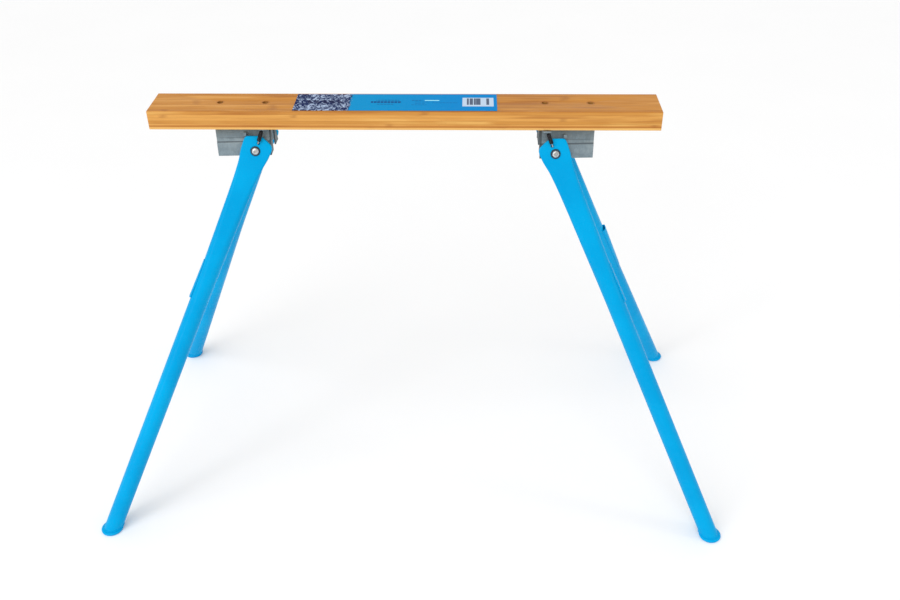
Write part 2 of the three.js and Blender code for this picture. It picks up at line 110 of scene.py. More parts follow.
class Nodes:
    """A short way to write one material's node tree."""

    def __init__(self, name):
        self.material = bpy.data.materials.new(name)
        self.material.use_nodes = True
        self.tree = self.material.node_tree
        self.shader = self.tree.nodes["Principled BSDF"]

    def put(self, socket, value):
        """Links a socket, or sets a value: a single number fills a vector, a colour gets its alpha."""
        if isinstance(value, bpy.types.NodeSocket):
            self.tree.links.new(value, socket)
        elif hasattr(socket.default_value, "__len__") and not hasattr(value, "__len__"):
            socket.default_value = [value] * len(socket.default_value)
        elif hasattr(value, "__len__") and len(value) == 3 and len(socket.default_value) == 4:
            socket.default_value = (*value, 1)
        else:
            socket.default_value = value

    def add(self, kind, inputs=None, out=0, **settings):
        node = self.tree.nodes.new(kind)
        for key, value in settings.items():
            setattr(node, key, value)
        for key, value in (inputs or {}).items():
            self.put(node.inputs[key], value)
        return node.outputs[out]

    def place(self):
        return self.add("ShaderNodeTexCoord", out="Object")

    def scaled(self, vector, scale):
        return self.add("ShaderNodeMapping", {"Vector": vector, "Scale": scale})

    def split(self, vector):
        node = self.tree.nodes.new("ShaderNodeSeparateXYZ")
        self.put(node.inputs[0], vector)
        return node.outputs

    def math(self, operation, a, b=0.0):
        return self.add("ShaderNodeMath", {0: a, 1: b}, operation=operation)

    def noise(self, vector, scale, detail=3.0, roughness=0.5, distortion=0.0):
        inputs = {
            "Vector": vector,
            "Scale": scale,
            "Detail": detail,
            "Roughness": roughness,
            "Distortion": distortion,
        }
        return self.add("ShaderNodeTexNoise", inputs)

    def voronoi(self, vector, scale, out="Color"):
        return self.add("ShaderNodeTexVoronoi", {"Vector": vector, "Scale": scale}, out=out)

    def cells(self, vector):
        """A random value for each different vector."""
        return self.add("ShaderNodeTexWhiteNoise", {"Vector": vector}, out="Value")

    def vector(self, x, y, z):
        return self.add("ShaderNodeCombineXYZ", {0: x, 1: y, 2: z})

    def remap(self, value, low, high, to_low=0.0, to_high=1.0):
        """A smooth step from to_low to to_high, as the value goes from low to high."""
        inputs = {0: value, 1: low, 2: high, 3: to_low, 4: to_high}
        return self.add("ShaderNodeMapRange", inputs, interpolation_type="SMOOTHSTEP")

    def between(self, value, low, high, soft):
        """One between low and high, zero outside, with soft edges."""
        rise = self.remap(value, low - soft, low + soft)
        return self.math("MULTIPLY", rise, self.remap(value, high + soft, high - soft))

    def mix(self, factor, a, b):
        node = self.tree.nodes.new("ShaderNodeMix")
        node.data_type = "RGBA"
        self.put(node.inputs["Factor"], factor)
        self.put(node.inputs["A"], a)
        self.put(node.inputs["B"], b)
        return node.outputs["Result"]

    def bump(self, height, strength, distance):
        inputs = {"Height": height, "Strength": strength, "Distance": distance}
        return self.add("ShaderNodeBump", inputs)

    def surface(self, **values):
        """Sets the shader's inputs, named with underscores for spaces, and gives the material."""
        for key, value in values.items():
            self.put(self.shader.inputs[key.replace("_", " ")], value)
        return self.material


LAYER = 0.0058
STRIP = 0.0212
NODE_PITCH = 0.235
CREASE_FOOT = (0.7346, 0.7368)
CREASE_TOP = (0.7412, 0.7430)
PLATE_INNER_END = 0.2474


def linear(red, green, blue):
    """An sRGB colour given as 0 to 255, as linear light."""
    parts = (red / 255, green / 255, blue / 255)
    return tuple(c / 12.92 if c <= 0.04045 else ((c + 0.055) / 1.055) ** 2.4 for c in parts)


def bamboo():
    """Strips and layers of bamboo, glued up, with nodes, pores, pale cut ends and bored holes, with
    painted shade on the walls of the holes.
    """
    n = Nodes("laminated_bamboo")
    p = n.place()
    x, y, z = n.split(p)
    upper, end_face = RAIL_TOP * MM, RAIL_HALF * MM
    layer_at = n.math("DIVIDE", n.math("SUBTRACT", z, UNDERSIDE * MM), LAYER)
    layer = n.math("FLOOR", layer_at)
    offset = n.math("MULTIPLY", n.cells(n.vector(layer, 3.0, 1.0)), 0.02)
    strip_at = n.math("DIVIDE", n.math("ADD", y, offset), STRIP)
    strip = n.math("FLOOR", strip_at)
    tone = n.cells(n.vector(strip, layer, 7.0))
    along = n.math("ADD", x, n.math("MULTIPLY", n.cells(n.vector(layer, strip, 2.0)), 3.0))

    def drawn_out(amount):
        return n.vector(n.math("MULTIPLY", along, amount), y, z)

    fibres = n.noise(drawn_out(0.02), 900.0, 4.0, 0.65)
    streaks = n.noise(drawn_out(0.06), 130.0, 3.0, 0.6)
    clouds = n.noise(drawn_out(0.25), 26.0, 3.0, 0.55)
    wide = n.noise(drawn_out(0.09), 48.0, 2.0, 0.5)

    top = n.remap(z, upper - 0.0015, upper - 0.0004)
    face = n.mix(tone, linear(220, 160, 80), linear(198, 136, 58))
    above = n.mix(tone, linear(206, 140, 54), linear(186, 120, 42))
    colour = n.mix(top, face, above)
    deep = n.mix(top, linear(164, 98, 34), linear(158, 94, 34))
    pale = n.mix(top, linear(232, 182, 100), linear(226, 166, 86))
    colour = n.mix(n.remap(wide, 0.5, 0.68, 0.0, 0.6), colour, deep)
    colour = n.mix(n.remap(wide, 0.44, 0.3, 0.0, 0.6), colour, pale)
    colour = n.mix(n.remap(streaks, 0.52, 0.78, 0.0, 0.5), colour, deep)
    colour = n.mix(n.remap(clouds, 0.56, 0.8, 0.0, 0.45), colour, deep)
    colour = n.mix(n.remap(clouds, 0.42, 0.2, 0.0, 0.5), colour, pale)
    colour = n.mix(n.remap(fibres, 0.5, 0.75, 0.0, 0.35), colour, deep)

    turn = n.math("DIVIDE", along, NODE_PITCH)
    wobble = n.math("MULTIPLY", n.math("SUBTRACT", n.noise(p, 60.0), 0.5), 0.09)
    away = n.math("SUBTRACT", n.math("FRACT", turn), 0.5)
    away = n.math("ABSOLUTE", n.math("ADD", away, wobble))
    present = n.remap(n.cells(n.vector(n.math("FLOOR", turn), strip, layer)), 0.5, 0.6)
    node = n.math("MULTIPLY", n.remap(away, 0.05, 0.0), present)
    colour = n.mix(n.math("MULTIPLY", node, 0.4), colour, linear(150, 90, 38))

    pores = n.noise(drawn_out(0.16), 1500.0, 1.0, 0.4)
    patch = n.remap(n.noise(n.scaled(p, (0.5, 1.0, 1.0)), 22.0, 1.0), 0.5, 0.62)
    pore = n.math("MULTIPLY", n.remap(pores, 0.68, 0.76), patch)
    colour = n.mix(n.math("MULTIPLY", pore, 0.5), colour, linear(120, 66, 26))

    side = n.math("SUBTRACT", 1.0, top)
    seam = n.math("ABSOLUTE", n.math("SUBTRACT", n.math("FRACT", layer_at), 0.5))
    seam = n.math("MULTIPLY", n.remap(seam, 0.44, 0.49), side)
    colour = n.mix(n.math("MULTIPLY", seam, 0.5), colour, linear(136, 78, 26))
    joint = n.math("ABSOLUTE", n.math("SUBTRACT", n.math("FRACT", strip_at), 0.5))
    joint = n.math("MULTIPLY", n.remap(joint, 0.47, 0.497), top)
    colour = n.mix(n.math("MULTIPLY", joint, 0.4), colour, linear(146, 90, 42))
    band = n.math("MULTIPLY", n.remap(z, 0.7752, 0.7725), n.remap(z, 0.7698, 0.7710))
    colour = n.mix(n.math("MULTIPLY", band, 0.6), colour, linear(168, 96, 30))
    line = n.remap(z, 0.7700, 0.7692)
    colour = n.mix(n.math("MULTIPLY", line, 0.75), colour, linear(236, 186, 108))

    ends = n.remap(n.math("ABSOLUTE", x), end_face - 0.0004, end_face - 0.0001)
    dots = n.remap(n.voronoi(p, 900.0, "Distance"), 0.34, 0.2)
    grain = n.mix(dots, linear(205, 150, 84), linear(112, 66, 30))
    colour = n.mix(ends, colour, grain)

    bore = 1.0
    scorch = 0.0
    for bolt in RAIL_BOLTS:
        over = n.math("SUBTRACT", n.math("ABSOLUTE", x), bolt * MM)
        reach = n.math("SQRT", n.math("ADD", n.math("POWER", over, 2.0), n.math("POWER", y, 2.0)))
        bore = n.math("MULTIPLY", bore, n.remap(reach, 0.0052, 0.0057))
        scorch = n.math("MAXIMUM", scorch, n.remap(reach, 0.0095, 0.0058))
    scorch = n.math("MULTIPLY", scorch, n.math("MULTIPLY", top, n.remap(fibres, 0.35, 0.6)))
    colour = n.mix(n.math("MULTIPLY", scorch, 0.6), colour, linear(132, 66, 22))
    # Painted shade: the walls of the bored holes, below the top face, are painted dark brown.
    bore_shade = n.math("SUBTRACT", 1.0, bore)
    bore_shade = n.math("MULTIPLY", bore_shade, n.remap(z, upper, upper - 0.0015))
    colour = n.mix(n.math("MULTIPLY", bore_shade, 0.95), colour, linear(92, 44, 18))

    relief = n.math("ADD", n.math("MULTIPLY", fibres, 0.5), n.math("MULTIPLY", pore, -1.0))
    relief = n.math("SUBTRACT", relief, n.math("ADD", seam, joint))
    return n.surface(
        Base_Color=colour,
        Roughness=n.remap(streaks, 0.3, 0.7, 0.42, 0.56),
        Normal=n.bump(relief, 0.35, 0.0002),
        Coat_Weight=0.04,
        Coat_Roughness=0.3,
        Specular_IOR_Level=0.25,
    )


def powder_coat():
    """Smooth blue paint with fine specks, slight orange peel and scuffs near the floor."""
    n = Nodes("blue_powder_coat")
    p = n.place()
    slow = n.noise(p, 9.0, 3.0)
    colour = n.mix(n.remap(slow, 0.35, 0.65), linear(0, 154, 212), linear(0, 163, 220))
    speck = n.remap(n.noise(p, 1400.0, 1.0), 0.7, 0.78)
    colour = n.mix(n.math("MULTIPLY", speck, 0.3), colour, linear(40, 200, 248))
    low = n.split(p)[2]
    scuff = n.remap(n.noise(n.scaled(p, (1.0, 1.0, 0.25)), 210.0, 5.0, 0.7), 0.66, 0.74)
    scuff = n.math("MULTIPLY", scuff, n.remap(low, 0.09, 0.02))
    colour = n.mix(n.math("MULTIPLY", scuff, 0.5), colour, linear(8, 96, 142))
    rough = n.remap(n.noise(p, 60.0, 4.0), 0.3, 0.7, 0.2, 0.3)
    peel = n.noise(p, 420.0, 2.0)
    return n.surface(
        Base_Color=colour,
        Roughness=rough,
        Normal=n.bump(peel, 0.12, 0.0004),
        Coat_Weight=0.015,
        Coat_Roughness=0.1,
        Specular_IOR_Level=0.05,
    )


def galvanised():
    """Grey zinc flakes, with painted shade: darker along the side plates' creases, above them and at the
    inner ends.
    """
    n = Nodes("galvanised_sheet")
    p = n.place()
    x, _, z = n.split(p)
    flakes = n.split(n.voronoi(p, 150.0))[0]
    fine = n.noise(n.scaled(p, (1.0, 1.0, 0.12)), 500.0, 3.0)
    drift = n.noise(p, 34.0, 3.0)
    colour = n.mix(n.remap(flakes, 0.0, 1.0), linear(118, 134, 142), linear(132, 148, 156))
    colour = n.mix(n.remap(fine, 0.35, 0.7, 0.0, 0.4), colour, linear(112, 124, 130))
    colour = n.mix(n.remap(drift, 0.45, 0.7, 0.0, 0.3), colour, linear(166, 177, 181))
    # Painted shade: the plates are painted darker above the creases.
    colour = n.mix(n.remap(z, 0.741, 0.746, 0.0, 0.2), colour, linear(94, 106, 112))
    # Painted shade: dark lines are painted along the lower and the upper crease.
    crease_shade = n.math("MULTIPLY", n.between(z, *CREASE_FOOT, 0.0004), 0.7)
    colour = n.mix(crease_shade, colour, linear(56, 64, 70))
    top_crease_shade = n.math("MULTIPLY", n.between(z, *CREASE_TOP, 0.0004), 0.35)
    colour = n.mix(top_crease_shade, colour, linear(72, 82, 88))
    # Painted shade: the inner end walls of the brackets are painted dark.
    reach = n.math("ABSOLUTE", x)
    end_wall_shade = n.remap(reach, PLATE_INNER_END + 0.0004, PLATE_INNER_END - 0.0004, 0.0, 0.8)
    colour = n.mix(end_wall_shade, colour, linear(60, 68, 72))
    rough = n.math("ADD", n.remap(flakes, 0.0, 1.0, 0.4, 0.5), n.remap(fine, 0.3, 0.7, 0.0, 0.08))
    return n.surface(
        Base_Color=colour,
        Metallic=0.45,
        Roughness=rough,
        Normal=n.bump(fine, 0.1, 0.0003),
    )


def zinc():
    n = Nodes("bright_zinc")
    p = n.place()
    blotch = n.noise(p, 240.0, 3.0)
    colour = n.mix(n.remap(blotch, 0.35, 0.65), linear(176, 178, 176), linear(206, 208, 208))
    rough = n.remap(n.noise(p, 700.0, 3.0), 0.3, 0.7, 0.2, 0.36)
    return n.surface(
        Base_Color=colour, Metallic=1.0, Roughness=rough, Normal=n.bump(blotch, 0.06, 0.0003)
    )


def oxide():
    n = Nodes("black_spring_steel")
    p = n.place()
    mottle = n.noise(p, 500.0, 3.0)
    colour = n.mix(n.remap(mottle, 0.4, 0.7), linear(34, 34, 38), linear(72, 70, 72))
    return n.surface(
        Base_Color=colour,
        Metallic=0.85,
        Roughness=n.remap(mottle, 0.3, 0.7, 0.28, 0.45),
    )


# The black look of the washers. On the outer washers it is painted shade: their black stands for the
# shaded dimple round each bolt head.
def nylon():
    n = Nodes("black_nylon")
    p = n.place()
    grain = n.noise(p, 900.0, 3.0)
    colour = n.mix(grain, linear(24, 24, 26), linear(46, 46, 48))
    return n.surface(Base_Color=colour, Roughness=0.55, Normal=n.bump(grain, 0.2, 0.0002))


def label_film():
    """A blue print: a mottled picture panel, rows of plain bars and a striped patch."""
    n = Nodes("printed_label")
    p = n.place()
    x, y, _ = n.split(p)
    mottle = n.noise(p, 500.0, 3.0, 0.7)

    def panel(x0, x1, y0, y1):
        across = n.between(x, x0, x1, 0.0003)
        return n.math("MULTIPLY", across, n.between(y, y0, y1, 0.0003))

    field = n.mix(n.remap(x, -0.1, 0.17), linear(0, 146, 204), linear(0, 134, 206))
    colour = n.mix(n.remap(mottle, 0.4, 0.7, 0.0, 0.15), field, linear(0, 106, 176))
    weave = n.noise(n.scaled(p, (1.0, 0.8, 1.0)), 90.0, 5.0, 0.75, 2.0)
    texture = n.mix(n.remap(weave, 0.48, 0.6), linear(22, 38, 84), linear(176, 194, 222))
    ragged = n.math("MULTIPLY", n.math("SUBTRACT", n.noise(p, 160.0, 4.0, 0.7), 0.5), 0.02)
    picture = n.remap(n.math("ADD", x, ragged), -0.0965, -0.0995)
    colour = n.mix(picture, colour, texture)
    bar = panel(-0.176, -0.112, -0.006, 0.008)
    slanted = n.math("FRACT", n.math("DIVIDE", n.math("ADD", x, n.math("MULTIPLY", y, 0.6)), 0.0135))
    bar = n.math("MULTIPLY", bar, n.remap(slanted, 0.72, 0.62))
    colour = n.mix(n.math("MULTIPLY", bar, 0.85), colour, linear(22, 26, 66))

    ink = linear(14, 66, 128)
    for x0, x1, y0, y1, amount in (
        (-0.052, -0.010, 0.0075, 0.0105, 0.7),
        (-0.061, -0.006, -0.003, 0.004, 0.95),
        (-0.050, -0.020, -0.0105, -0.008, 0.65),
        (0.012, 0.032, 0.007, 0.010, 0.6),
        (0.018, 0.044, 0.0005, 0.0025, 0.5),
        (0.018, 0.036, -0.006, -0.004, 0.5),
        (0.012, 0.040, -0.0125, -0.0105, 0.5),
        (0.050, 0.095, -0.003, -0.001, 0.5),
    ):
        broken = n.math("FRACT", n.math("DIVIDE", x, 0.0062))
        mark = n.math("MULTIPLY", panel(x0, x1, y0, y1), n.remap(broken, 0.86, 0.8))
        colour = n.mix(n.math("MULTIPLY", mark, amount), colour, ink)
    colour = n.mix(panel(0.036, 0.062, 0.007, 0.0098), colour, linear(176, 246, 250))

    colour = n.mix(panel(0.104, 0.160, -0.018, 0.021), colour, linear(192, 212, 232))
    stripes = n.math("FLOOR", n.math("DIVIDE", x, 0.0015))
    dark = n.remap(n.cells(n.vector(stripes, 1.0, 0.0)), 0.34, 0.42)
    dark = n.math("MULTIPLY", dark, panel(0.112, 0.152, -0.011, 0.018))
    colour = n.mix(n.math("MULTIPLY", dark, 0.85), colour, linear(44, 54, 84))
    return n.surface(
        Base_Color=colour,
        Roughness=n.remap(mottle, 0.3, 0.7, 0.28, 0.4),
        Normal=n.bump(mottle, 0.05, 0.0002),
        Specular_IOR_Level=0.02,
    )


LOOKS = {
    "bamboo": bamboo(),
    "blue": powder_coat(),
    "galvanised": galvanised(),
    "zinc": zinc(),
    "spring": oxide(),
    "nylon": nylon(),
    "label": label_film(),
}


# ---- Meshes -----------------------------------------------------------------------------------------

WELD = 0.00002
SAME_FACE_DEG = 2
EDGE_DEG = 30


def mesh_from(name, vertices, faces, sharp_deg=35):
    mesh = bpy.data.meshes.new(name)
    mesh.from_pydata([tuple(v) for v in vertices], [], faces)
    return finished(mesh, sharp_deg)


def finished(mesh, sharp_deg=35):
    work = bmesh.new()
    work.from_mesh(mesh)
    bmesh.ops.recalc_face_normals(work, faces=work.faces)
    work.to_mesh(mesh)
    work.free()
    mesh.polygons.foreach_set("use_smooth", [True] * len(mesh.polygons))
    mesh.set_sharp_from_angle(angle=math.radians(sharp_deg))
    return mesh


def new_object(name, mesh, matrix=None):
    """An object whose place is in its vertices, so that materials read the row frame."""
    if matrix is not None:
        mesh.transform(matrix)
    made = bpy.data.objects.new(name, mesh)
    bpy.context.scene.collection.objects.link(made)
    return made


def dress(made, look, body, *nodes):
    """Gives a piece its material and its body, and hides the CAD nodes that it stands for."""
    made.data.materials.clear()
    made.data.materials.append(LOOKS[look])
    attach(made, body)
    if nodes:
        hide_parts(*nodes)


def in_metres(profile):
    return [(radius * MM, height * MM) for radius, height in profile]


def lathe(name, profile, segments=48, closed=False, sharp_deg=35):
    """Turns (radius, height) points round Z. A point on the axis becomes a single vertex."""
    vertices, rows = [], []
    for radius, height in profile:
        if radius < 1e-9:
            rows.append([len(vertices)] * segments)
            vertices.append((0, 0, height))
            continue
        rows.append(list(range(len(vertices), len(vertices) + segments)))
        for i in range(segments):
            a = 2 * math.pi * i / segments
            vertices.append((radius * math.cos(a), radius * math.sin(a), height))
    pairs = list(zip(rows, rows[1:]))
    if closed:
        pairs.append((rows[-1], rows[0]))
    faces = []
    for low, high in pairs:
        for i in range(segments):
            j = (i + 1) % segments
            corners = [low[i], low[j], high[j], high[i]]
            faces.append(list(dict.fromkeys(corners)))
    return mesh_from(name, vertices, faces, sharp_deg)


def loft(rings, cap_start=True, cap_end=True):
    """Skins rings of equal count, and closes the ends that are asked for."""
    count = len(rings[0])
    vertices = [v for ring in rings for v in ring]
    faces = []
    for r in range(len(rings) - 1):
        for i in range(count):
            j = (i + 1) % count
            a, b = r * count + i, r * count + j
            faces.append([a, b, b + count, a + count])
    if cap_start:
        faces.append(list(range(count)))
    if cap_end:
        start = (len(rings) - 1) * count
        faces.append(list(range(start, start + count)))
    return vertices, faces


def tube_along(points, radius, sides=10):
    """Rings of a round wire that follows the points, turning as little as it can."""
    tangents = []
    for i in range(len(points)):
        before, after = points[max(i - 1, 0)], points[min(i + 1, len(points) - 1)]
        tangents.append((after - before).normalized())
    normal = tangents[0].orthogonal().normalized()
    rings = []
    for point, tangent in zip(points, tangents):
        normal = (normal - tangent * normal.dot(tangent)).normalized()
        side = tangent.cross(normal)
        ring = []
        for k in range(sides):
            a = 2 * math.pi * k / sides
            ring.append(point + (normal * math.cos(a) + side * math.sin(a)) * radius)
        rings.append(ring)
    return rings


def cut_away(made, cutters):
    """Cuts closed meshes out of an object for good."""
    for cutter in cutters:
        tool = made.modifiers.new("cut", "BOOLEAN")
        tool.operation = "DIFFERENCE"
        tool.solver = "EXACT"
        tool.object = cutter
    bpy.context.view_layer.update()
    evaluated = made.evaluated_get(bpy.context.evaluated_depsgraph_get())
    mesh = bpy.data.meshes.new_from_object(evaluated)
    made.modifiers.clear()
    made.data = finished(mesh)
    for cutter in cutters:
        bpy.data.objects.remove(cutter)


def from_node(node, name, bevel_mm):
    """A copy of a CAD node's solid with welded vertices, whole flat faces and rounded edges."""
    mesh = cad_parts[node].data.copy()
    mesh.name = name
    work = bmesh.new()
    work.from_mesh(mesh)
    bmesh.ops.remove_doubles(work, verts=work.verts, dist=WELD)
    angle = math.radians(SAME_FACE_DEG)
    bmesh.ops.dissolve_limit(work, angle_limit=angle, verts=work.verts, edges=work.edges)
    work.to_mesh(mesh)
    work.free()
    made = new_object(name, finished(mesh, EDGE_DEG))
    round_edges(made, bevel_mm)
    return made


def round_edges(made, bevel_mm):
    bevel = made.modifiers.new("edges", "BEVEL")
    bevel.width = bevel_mm * MM
    bevel.segments = 2
    bevel.limit_method = "ANGLE"
    bevel.angle_limit = math.radians(EDGE_DEG)


# ---- Where each leg is ------------------------------------------------------------------------------


class Leg:
    """One leg's frame: +Z up the leg from the pivot, +X outward along the rail."""

    def __init__(self, side, end):
        self.name = f"{side}_{end}"
        self.body = f"{self.name}_leg_body"
        s, e = SIDES[side], ENDS[end]
        self.pivot = Vector((e * PIVOT_X, s * PIVOT_Y[end], PIVOT_Z)) * MM
        self.foot = Vector((e * FOOT_X[side], s * FOOT_Y, 0)) * MM
        toe = math.radians(-s * TOE_DEG)
        self.along = Vector((math.cos(toe), math.sin(toe), 0)) * e
        up = (self.pivot - self.foot).normalized()
        self.out = up.cross(self.along).normalized()
        if self.out.y * s < 0:
            self.out.negate()
        self.plate_up = self.out.cross(self.along)
        if self.plate_up.z < 0:
            self.plate_up.negate()
        outward = (self.along - up * self.along.dot(up)).normalized()
        y = up.cross(outward)
        self.outside = 1 if y.dot(self.out) > 0 else -1
        self.matrix = Matrix((outward, y, up)).transposed().to_4x4()
        self.matrix.translation = self.pivot
        self.hardware = self.matrix @ Matrix.Rotation(-self.outside * math.pi / 2, 4, "X")
        self.length = (self.pivot - self.foot).length / MM

    def anchor(self):
        """The spring's upper end, in the middle of its tab's thickness."""
        point = self.pivot + (self.along * -SPRING_TAB_INWARD + self.out * SPRING_OUT) * MM
        return point + self.plate_up * ((WEB_MIDDLE * MM - point.z) / self.plate_up.z)

    def hook(self):
        """The spring's lower end, in front of the hole in the leg's head."""
        return self.matrix @ (Vector((0, self.outside * SPRING_OUT, HOOK_UP)) * MM)


LEGS = [Leg(side, end) for end in ENDS for side in SIDES]


def curve_through(points, at):
    """A smooth curve through rising (at, value...) points that doesn't overshoot."""
    if at <= points[0][0]:
        return list(points[0][1:])
    if at >= points[-1][0]:
        return list(points[-1][1:])
    i = max(k for k in range(len(points) - 1) if points[k][0] <= at)
    h = points[i + 1][0] - points[i][0]
    t = (at - points[i][0]) / h

    def slope(k, c):
        if k in (0, len(points) - 1):
            return 0.0
        before = (points[k][c] - points[k - 1][c]) / (points[k][0] - points[k - 1][0])
        after = (points[k + 1][c] - points[k][c]) / (points[k + 1][0] - points[k][0])
        return 0.0 if before * after <= 0 else 2 * before * after / (before + after)

    values = []
    for c in range(1, len(points[0])):
        a, b = points[i][c], points[i + 1][c]
        ma, mb = slope(i, c) * h, slope(i + 1, c) * h
        h00, h10 = 2 * t**3 - 3 * t**2 + 1, t**3 - 2 * t**2 + t
        h01, h11 = -2 * t**3 + 3 * t**2, t**3 - t**2
        values.append(h00 * a + h10 * ma + h01 * b + h11 * mb)
    return values


# ---- Legs -------------------------------------------------------------------------------------------

RING = 56
TOP_ROUND = 1.1
HEAD_FOOT = -2
FOOT_END = 40
THROUGH = 4.2
RIM = 3
BEAD, BEAD_STEPS = 1.3, 96


def section(centre, half_width, half_thickness, z):
    """A flattened round at height z: straight flanks between two half circles."""
    ring = []
    for i in range(RING):
        a = (i + 0.5) / RING * 2 * math.pi
        c = math.cos(a)
        flank = math.copysign(half_width - half_thickness, c)
        x = centre + flank + half_thickness * c
        ring.append(Vector((x, half_thickness * math.sin(a), z)) * MM)
    return ring


def leg_rings(leg):
    """Rings down the leg: its rounded tip, the blade, the flattened tube and the cut at the foot."""
    widest = LEG_SECTIONS[0][1]
    head = [(HEAD_FOOT, -widest, widest)] + sorted(HEAD_OUTLINE)
    rings = []
    tip = head[-1][0]
    for step in range(5):
        a = step / 4 * math.pi / 2
        z = tip - TOP_ROUND + TOP_ROUND * math.cos(a)
        inset = TOP_ROUND * (1 - math.sin(a))
        inner, outer = curve_through(head, z)
        half = (outer - inner) / 2 - inset
        rings.append(section((inner + outer) / 2, half, BLADE_HALF - inset, z))
    z = tip - TOP_ROUND - 0.4
    while z > HEAD_FOOT:
        inner, outer = curve_through(head, z)
        rings.append(section((inner + outer) / 2, (outer - inner) / 2, BLADE_HALF, z))
        z -= 0.5 if z > 15 else 2
    for down in range(-HEAD_FOOT, LEG_SECTIONS[-1][0] + 10, 4):
        half_width, half_thickness = curve_through(LEG_SECTIONS, down)
        rings.append(section(0, half_width, half_thickness, -down))
    cut = (FLANGE_HEIGHT + GAP) * MM
    up = leg.matrix.col[2].xyz
    last = []
    for point in section(0, TUBE_RADIUS, TUBE_RADIUS, 0):
        world = leg.matrix @ point
        last.append(point + Vector((0, 0, (cut - world.z) / up.z)))
    rings.append(section(0, TUBE_RADIUS, TUBE_RADIUS, -leg.length + FOOT_END))
    rings.append(last)
    return rings


def across_blade(mesh, leg, up_mm):
    """Places a cutter made round Z so that it crosses the leg's blade."""
    at = Matrix.Translation(Vector((0, 0, up_mm)) * MM)
    turn = Matrix.Rotation(-leg.outside * math.pi / 2, 4, "X")
    return new_object("cutter", mesh, leg.matrix @ at @ turn)


def build_leg(leg):
    """The tube with its flattened head, the spring's hole and the pivot's dimple and bore."""
    vertices, faces = loft(leg_rings(leg))
    made = new_object(f"{leg.name}_tube", mesh_from("leg", vertices, faces), leg.matrix)
    mouth = HOOK_RADIUS + 0.9
    hole = [(0, THROUGH), (mouth, THROUGH), (mouth, 2.9), (HOOK_RADIUS, 2.2)]
    hole += [(HOOK_RADIUS, -2.2), (mouth, -2.9), (mouth, -THROUGH), (0, -THROUGH)]
    bottom = BLADE_HALF - DIMPLE_DEPTH
    dimple = [(0, -THROUGH), (BORE, -THROUGH), (BORE, bottom)]
    dimple += [(DIMPLE_RADIUS - 1.4, bottom), (DIMPLE_RADIUS - 0.4, bottom + 0.35)]
    dimple += [(DIMPLE_RADIUS + 0.2, BLADE_HALF), (DIMPLE_RADIUS + 0.4, BLADE_HALF + 0.2)]
    dimple += [(DIMPLE_RADIUS + 0.4, BLADE_HALF + 2), (0, BLADE_HALF + 2)]
    cutters = []
    for profile, up in ((hole, HOOK_UP), (dimple, 0)):
        cutters.append(across_blade(lathe("cutter", in_metres(profile), 40), leg, up))
    cut_away(made, cutters)
    dress(made, "blue", leg.body, f"{leg.name}_leg", f"{leg.name}_pivot_bush")


def build_clip(leg):
    """The strip on the leg's outer edge."""
    made = from_node(f"{leg.name}_leg_clip", f"{leg.name}_clip", 0.5)
    dress(made, "blue", leg.body, f"{leg.name}_leg_clip")


def build_foot(leg):
    """A pressed cup foot with a rolled rim and a dished underside."""
    r, h = FLANGE_RADIUS, FLANGE_HEIGHT
    profile = [(0, 0.9), (r - 7, 0.9), (r - 5.5, 0.2), (r - 4.5, 0)]
    for step in range(9):
        a = -math.pi / 2 + step / 8 * math.pi
        profile.append((r - RIM + RIM * math.cos(a), RIM + RIM * math.sin(a)))
    profile += [(r - 4.2, 6.1), (r - 5.2, 6.6), (0, h - 0.3)]
    mesh = lathe("foot", in_metres(profile), 64, sharp_deg=50)
    made = new_object(f"{leg.name}_cup_foot", mesh, Matrix.Translation(leg.foot))
    dress(made, "blue", leg.body, f"{leg.name}_foot")


def build_weld(leg):
    """The uneven bead round the tube, where it stands in its foot."""
    rng = random.Random(leg.name)
    up = leg.matrix.col[2].xyz
    path = []
    for i in range(BEAD_STEPS):
        a = 2 * math.pi * i / BEAD_STEPS
        edge = leg.matrix @ (Vector((math.cos(a), math.sin(a), 0)) * (TUBE_RADIUS * MM))
        path.append(edge + up * ((FLANGE_HEIGHT * MM - edge.z) / up.z))
    rings = tube_along(path, BEAD * MM, 8)
    for centre, ring in zip(path, rings):
        grow = 0.85 + 0.35 * rng.random()
        ring[:] = [centre + (v - centre) * grow for v in ring]
    vertices, faces = loft(rings + [rings[0]], False, False)
    bead = new_object(f"{leg.name}_weld_bead", mesh_from("bead", vertices, faces, 80))
    dress(bead, "blue", leg.body)


# ---- Springs ----------------------------------------------------------------------------------------

WIRE, WIRE_SIDES = 0.8, 10
COIL_RADIUS = 3.8 - WIRE
COIL_TURNS, TURN_STEPS = 13, 18


